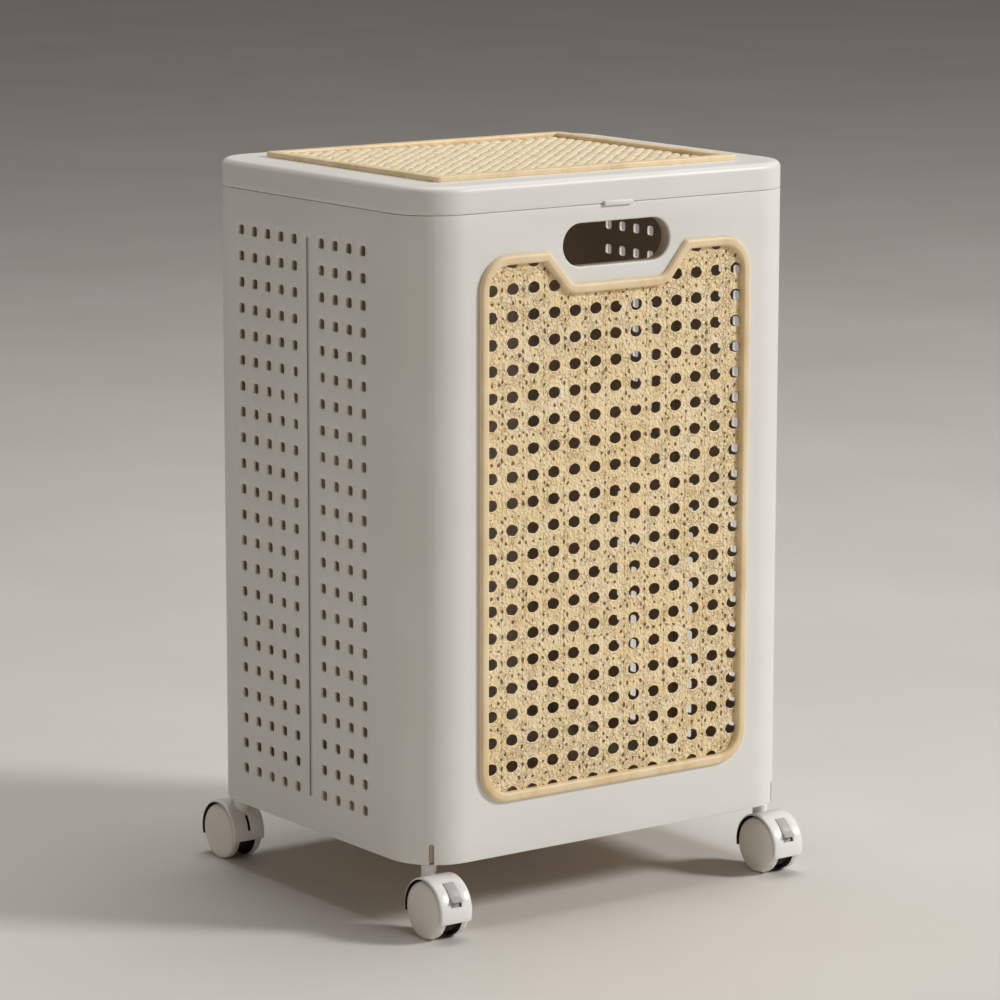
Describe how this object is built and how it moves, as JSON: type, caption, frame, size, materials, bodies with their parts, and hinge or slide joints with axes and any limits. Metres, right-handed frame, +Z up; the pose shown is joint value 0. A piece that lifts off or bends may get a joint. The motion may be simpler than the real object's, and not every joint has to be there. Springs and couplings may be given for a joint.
{
  "type": "laundry sorter",
  "caption": "Tall moulded laundry hamper with vented sides, a woven front panel, hand holes, a hinged lid with a woven inset, and braked twin-wheel casters.",
  "frame": {"origin": "on the floor, under the middle of the object's own box", "axes": "+Z up, -Y out of the woven front, +X to the right seen from the front"},
  "size_m": [0.4, 0.3764, 0.6317],
  "materials": {
    "white_shell": "satin moulded polypropylene",
    "straw_frame": "straw-coloured moulded plastic, faintly mottled",
    "woven_cane": "woven cane-look plastic strands",
    "caster_white": "glossy moulded nylon",
    "caster_core": "dark moulded nylon",
    "brake_lever": "light grey moulded nylon",
    "steel": "bright zinc-plated steel"
  },
  "bodies": {
    "body": {"body_shell": "white_shell", "base_tray": "white_shell", "front_frame": "straw_frame", "front_cane": "woven_cane", "hinge_pin_left": "steel", "hinge_pin_right": "steel", "caster_stem_front_left": "steel", "caster_stem_front_right": "steel", "caster_stem_rear_left": "steel", "caster_stem_rear_right": "steel", "grip_ring_front_left": "steel", "grip_ring_front_right": "steel", "grip_ring_rear_left": "steel", "grip_ring_rear_right": "steel"},
    "lid": {"lid_shell": "white_shell", "lid_frame": "straw_frame", "lid_cane": "woven_cane"},
    "caster_front_left": {"caster_hood_front_left": "caster_white", "caster_core_front_left": "caster_core", "wheel_axle_front_left": "steel"},
    "wheel_front_left_a": {"wheel_front_left_a": "caster_white"},
    "wheel_front_left_b": {"wheel_front_left_b": "caster_white"},
    "brake_front_left": {"brake_lever_front_left": "brake_lever"},
    "caster_front_right": {"caster_hood_front_right": "caster_white", "caster_core_front_right": "caster_core", "wheel_axle_front_right": "steel"},
    "wheel_front_right_a": {"wheel_front_right_a": "caster_white"},
    "wheel_front_right_b": {"wheel_front_right_b": "caster_white"},
    "brake_front_right": {"brake_lever_front_right": "brake_lever"},
    "caster_rear_left": {"caster_hood_rear_left": "caster_white", "caster_core_rear_left": "caster_core", "wheel_axle_rear_left": "steel"},
    "wheel_rear_left_a": {"wheel_rear_left_a": "caster_white"},
    "wheel_rear_left_b": {"wheel_rear_left_b": "caster_white"},
    "brake_rear_left": {"brake_lever_rear_left": "brake_lever"},
    "caster_rear_right": {"caster_hood_rear_right": "caster_white", "caster_core_rear_right": "caster_core", "wheel_axle_rear_right": "steel"},
    "wheel_rear_right_a": {"wheel_rear_right_a": "caster_white"},
    "wheel_rear_right_b": {"wheel_rear_right_b": "caster_white"},
    "brake_rear_right": {"brake_lever_rear_right": "brake_lever"}
  },
  "joints": [
    {"name": "lid_hinge", "type": "hinge", "parent": "body", "child": "lid", "pos_m": [0, 0.1706, 0.604], "axis": [-1, 0, 0], "range_deg": [0, 100]},
    {"name": "swivel_front_left", "type": "hinge", "parent": "body", "child": "caster_front_left", "pos_m": [-0.179, -0.145, 0.05], "axis": [0, 0, 1], "continuous": true},
    {"name": "roll_front_left_a", "type": "hinge", "parent": "caster_front_left", "child": "wheel_front_left_a", "pos_m": [-0.179, -0.1585, 0.0245], "axis": [1, 0, 0], "continuous": true},
    {"name": "roll_front_left_b", "type": "hinge", "parent": "caster_front_left", "child": "wheel_front_left_b", "pos_m": [-0.179, -0.1585, 0.0245], "axis": [1, 0, 0], "continuous": true},
    {"name": "brake_press_front_left", "type": "hinge", "parent": "caster_front_left", "child": "brake_front_left", "pos_m": [-0.179, -0.16876, 0.04534], "axis": [1, 0, 0], "range_deg": [0, 8]},
    {"name": "swivel_front_right", "type": "hinge", "parent": "body", "child": "caster_front_right", "pos_m": [0.179, -0.145, 0.05], "axis": [0, 0, 1], "continuous": true},
    {"name": "roll_front_right_a", "type": "hinge", "parent": "caster_front_right", "child": "wheel_front_right_a", "pos_m": [0.179, -0.1585, 0.0245], "axis": [1, 0, 0], "continuous": true},
    {"name": "roll_front_right_b", "type": "hinge", "parent": "caster_front_right", "child": "wheel_front_right_b", "pos_m": [0.179, -0.1585, 0.0245], "axis": [1, 0, 0], "continuous": true},
    {"name": "brake_press_front_right", "type": "hinge", "parent": "caster_front_right", "child": "brake_front_right", "pos_m": [0.179, -0.16876, 0.04534], "axis": [1, 0, 0], "range_deg": [0, 8]},
    {"name": "swivel_rear_left", "type": "hinge", "parent": "body", "child": "caster_rear_left", "pos_m": [-0.179, 0.145, 0.05], "axis": [0, 0, 1], "continuous": true},
    {"name": "roll_rear_left_a", "type": "hinge", "parent": "caster_rear_left", "child": "wheel_rear_left_a", "pos_m": [-0.179, 0.1585, 0.0245], "axis": [1, 0, 0], "continuous": true},
    {"name": "roll_rear_left_b", "type": "hinge", "parent": "caster_rear_left", "child": "wheel_rear_left_b", "pos_m": [-0.179, 0.1585, 0.0245], "axis": [1, 0, 0], "continuous": true},
    {"name": "brake_press_rear_left", "type": "hinge", "parent": "caster_rear_left", "child": "brake_rear_left", "pos_m": [-0.179, 0.16876, 0.04534], "axis": [-1, 0, 0], "range_deg": [0, 8]},
    {"name": "swivel_rear_right", "type": "hinge", "parent": "body", "child": "caster_rear_right", "pos_m": [0.179, 0.145, 0.05], "axis": [0, 0, 1], "continuous": true},
    {"name": "roll_rear_right_a", "type": "hinge", "parent": "caster_rear_right", "child": "wheel_rear_right_a", "pos_m": [0.179, 0.1585, 0.0245], "axis": [1, 0, 0], "continuous": true},
    {"name": "roll_rear_right_b", "type": "hinge", "parent": "caster_rear_right", "child": "wheel_rear_right_b", "pos_m": [0.179, 0.1585, 0.0245], "axis": [1, 0, 0], "continuous": true},
    {"name": "brake_press_rear_right", "type": "hinge", "parent": "caster_rear_right", "child": "brake_rear_right", "pos_m": [0.179, 0.16876, 0.04534], "axis": [-1, 0, 0], "range_deg": [0, 8]}
  ]
}
